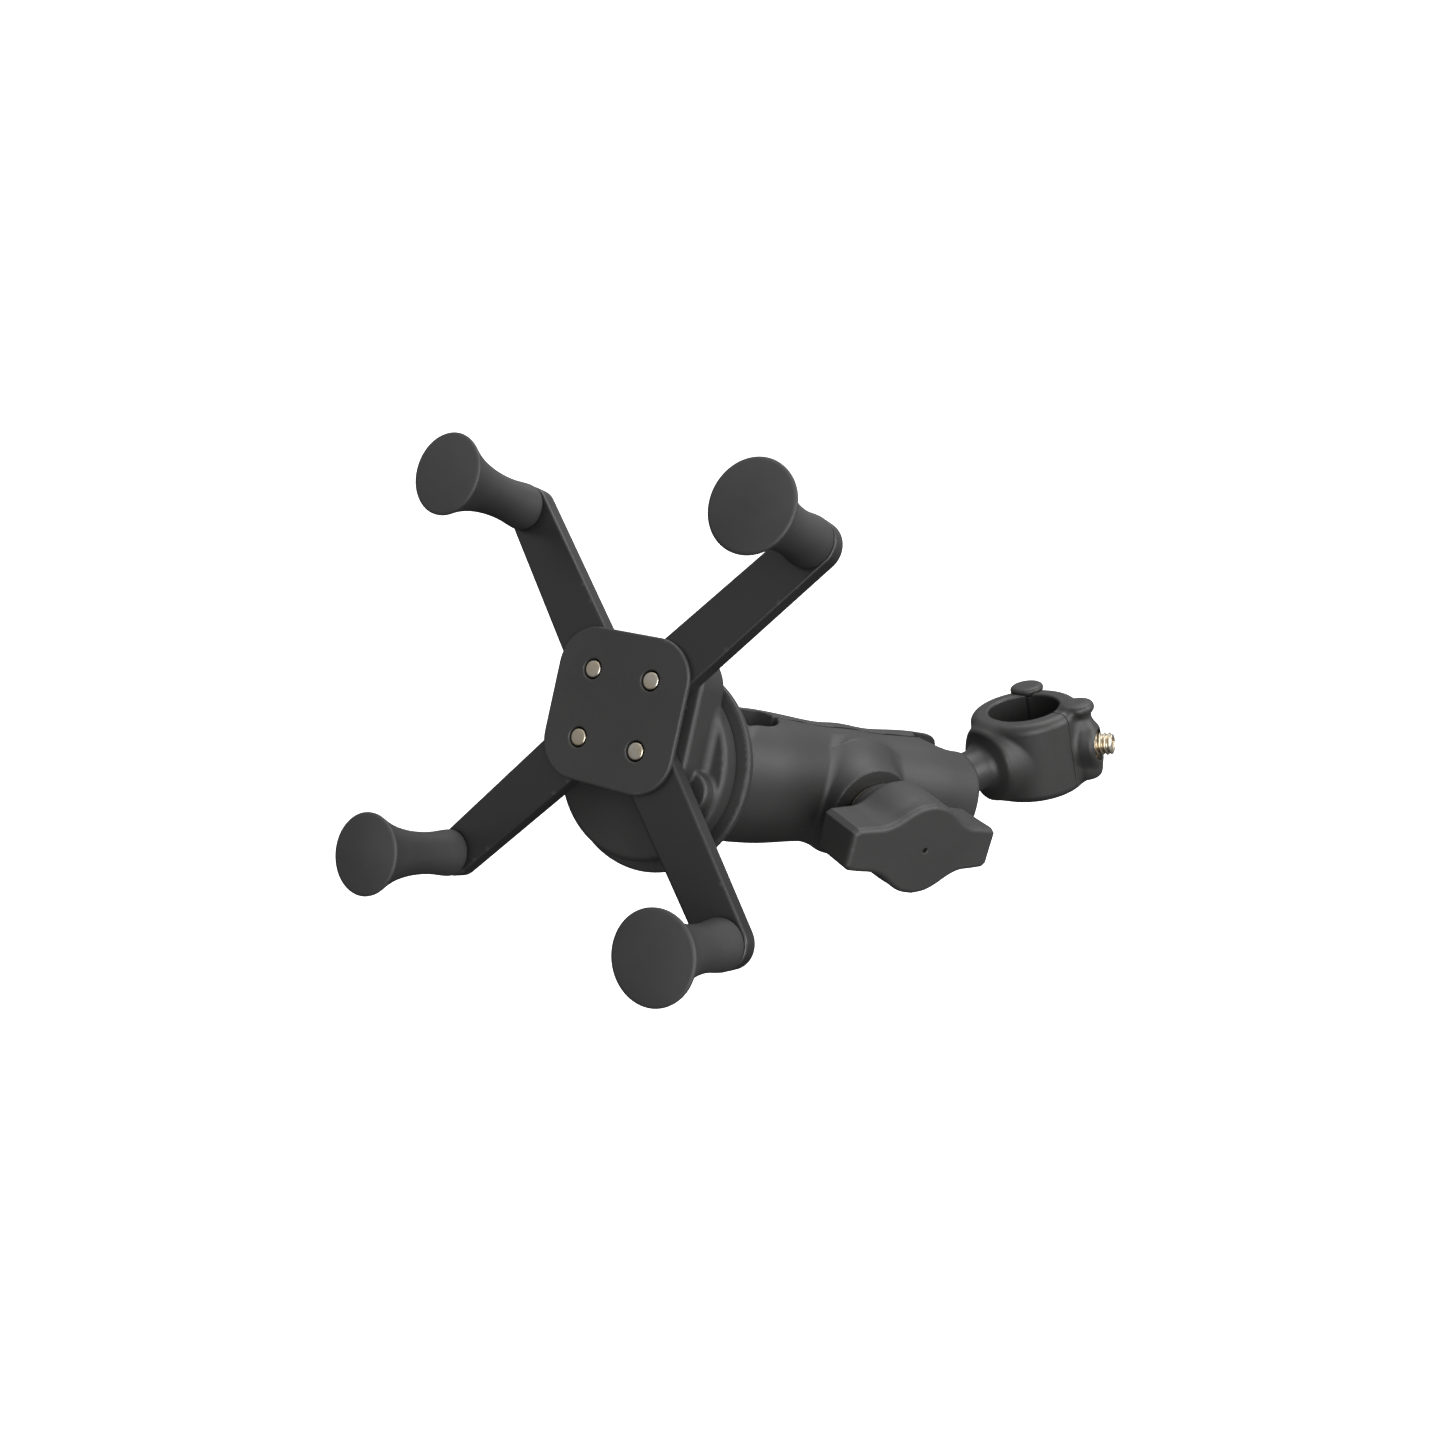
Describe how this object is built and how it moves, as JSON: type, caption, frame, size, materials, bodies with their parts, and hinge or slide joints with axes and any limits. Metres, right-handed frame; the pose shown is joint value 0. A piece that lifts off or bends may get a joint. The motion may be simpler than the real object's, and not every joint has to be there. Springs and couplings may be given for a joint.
{
  "type": "phone handlebar mount",
  "caption": "Hinged bar clamp carrying a double ball-socket arm with a wing knob and a spring-loaded four-arm phone cradle with rubber-capped grips.",
  "frame": {"origin": "centre of the clamp bore, on the bar axis at the middle of the sleeve", "axes": "+Z along the bar, up as the mount is used; the arm leaves the sleeve towards -X and the device faces -Y"},
  "size_m": [0.1841, 0.1455, 0.1368],
  "materials": {
    "nylon": "semi-matte moulded nylon with a fine grain",
    "clamp_nylon": "semi-matte moulded nylon, a little glossier on the edges",
    "knob_nylon": "semi-matte moulded nylon",
    "cap_rubber": "satin soft rubber",
    "ball_rubber": "matte rubber",
    "coated_steel": "satin black coating on steel",
    "steel": "bright zinc-plated steel",
    "brass": "plain turned brass"
  },
  "bodies": {
    "clamp": {"clamp_body": "clamp_nylon", "gate_hinge_pin": "clamp_nylon"},
    "gate": {"clamp_gate": "clamp_nylon", "gate_insert": "brass"},
    "pad": {"screw_pad": "ball_rubber"},
    "screw": {"clamp_screw": "steel"},
    "bar_ball": {"bar_ball_jacket": "ball_rubber"},
    "arm": {"arm_rear_shell": "nylon", "arm_bolt": "steel", "arm_spring": "steel"},
    "front_shell": {"arm_front_shell": "nylon", "thrust_washer": "steel"},
    "knob": {"wing_knob": "knob_nylon", "knob_insert": "brass"},
    "cradle_ball": {"cradle_ball_jacket": "ball_rubber"},
    "cradle": {"ball_base": "nylon", "base_screw_1": "steel", "base_screw_2": "steel", "hub_back": "nylon", "hub_cover": "nylon", "pivot_pin_ur": "steel", "pivot_pin_ul": "steel", "pivot_pin_ll": "steel", "pivot_pin_lr": "steel", "arm_spring_ur": "steel", "arm_spring_ul": "steel", "arm_spring_ll": "steel", "arm_spring_lr": "steel"},
    "grip_ur": {"grip_arm_ur": "coated_steel", "post_pin_ur": "steel", "grip_cap_ur": "cap_rubber"},
    "grip_ul": {"grip_arm_ul": "coated_steel", "post_pin_ul": "steel", "grip_cap_ul": "cap_rubber"},
    "grip_ll": {"grip_arm_ll": "coated_steel", "post_pin_ll": "steel", "grip_cap_ll": "cap_rubber"},
    "grip_lr": {"grip_arm_lr": "coated_steel", "post_pin_lr": "steel", "grip_cap_lr": "cap_rubber"}
  },
  "joints": [
    {"name": "gate_hinge", "type": "hinge", "parent": "clamp", "child": "gate", "pos_m": [0.00582, 0.01306, 0], "axis": [0, 0, 1], "range_deg": [0, 70]},
    {"name": "pad_travel", "type": "slide", "parent": "gate", "child": "pad", "axis": [0.829, -0.5592, 0], "range_m": [-0.0024, 0]},
    {"name": "screw_turn", "type": "hinge", "parent": "pad", "child": "screw", "pos_m": [0.01658, -0.01118, 0], "axis": [0.829, -0.5592, 0], "range_deg": [-681, 0]},
    {"name": "bar_ball_twist", "type": "hinge", "parent": "clamp", "child": "bar_ball", "pos_m": [-0.03442, -0.01356, 0], "axis": [-0.9304, -0.3665, 0], "continuous": true},
    {"name": "bar_ball_swing", "type": "hinge", "parent": "bar_ball", "child": "arm", "pos_m": [-0.03442, -0.01356, 0], "axis": [0.3511, -0.9252, -0.144], "range_deg": [-58, 60]},
    {"name": "shell_travel", "type": "slide", "parent": "arm", "child": "front_shell", "axis": [0.3511, -0.9252, -0.144], "range_m": [0, 0.0025]},
    {"name": "knob_turn", "type": "hinge", "parent": "front_shell", "child": "knob", "pos_m": [-0.05974, -0.02547, 0.01481], "axis": [0.3511, -0.9252, -0.144], "range_deg": [0, 720]},
    {"name": "cradle_ball_swing", "type": "hinge", "parent": "arm", "child": "cradle_ball", "pos_m": [-0.08505, -0.03738, 0.02961], "axis": [0.3511, -0.9252, -0.144], "range_deg": [-14, 36]},
    {"name": "cradle_twist", "type": "hinge", "parent": "cradle_ball", "child": "cradle", "pos_m": [-0.08505, -0.03738, 0.02961], "axis": [-0.429, -0.762, 0.485], "continuous": true},
    {"name": "grip_ur", "type": "hinge", "parent": "cradle", "child": "grip_ur", "pos_m": [-0.0932, -0.07434, 0.06638], "axis": [-0.429, -0.762, 0.485], "range_deg": [-31, 9], "stiffness_Nm_per_rad": 0.15},
    {"name": "grip_ul", "type": "hinge", "parent": "cradle", "child": "grip_ul", "pos_m": [-0.10417, -0.06621, 0.06947], "axis": [-0.429, -0.762, 0.485], "range_deg": [-9, 31], "stiffness_Nm_per_rad": 0.15},
    {"name": "grip_ll", "type": "hinge", "parent": "cradle", "child": "grip_ll", "pos_m": [-0.11046, -0.0702, 0.05762], "axis": [-0.429, -0.762, 0.485], "range_deg": [-31, 9], "stiffness_Nm_per_rad": 0.15},
    {"name": "grip_lr", "type": "hinge", "parent": "cradle", "child": "grip_lr", "pos_m": [-0.0995, -0.07834, 0.05454], "axis": [-0.429, -0.762, 0.485], "range_deg": [-9, 31], "stiffness_Nm_per_rad": 0.15}
  ],
  "couplings": [
    {"joint": "screw_turn", "follows": "pad_travel", "rad_per_m": 4947.4},
    {"joint": "knob_turn", "follows": "shell_travel", "rad_per_m": 4947.4},
    {"joint": "grip_ul", "follows": "grip_ur", "ratio": -1},
    {"joint": "grip_ll", "follows": "grip_ur", "ratio": 1},
    {"joint": "grip_lr", "follows": "grip_ur", "ratio": -1}
  ]
}
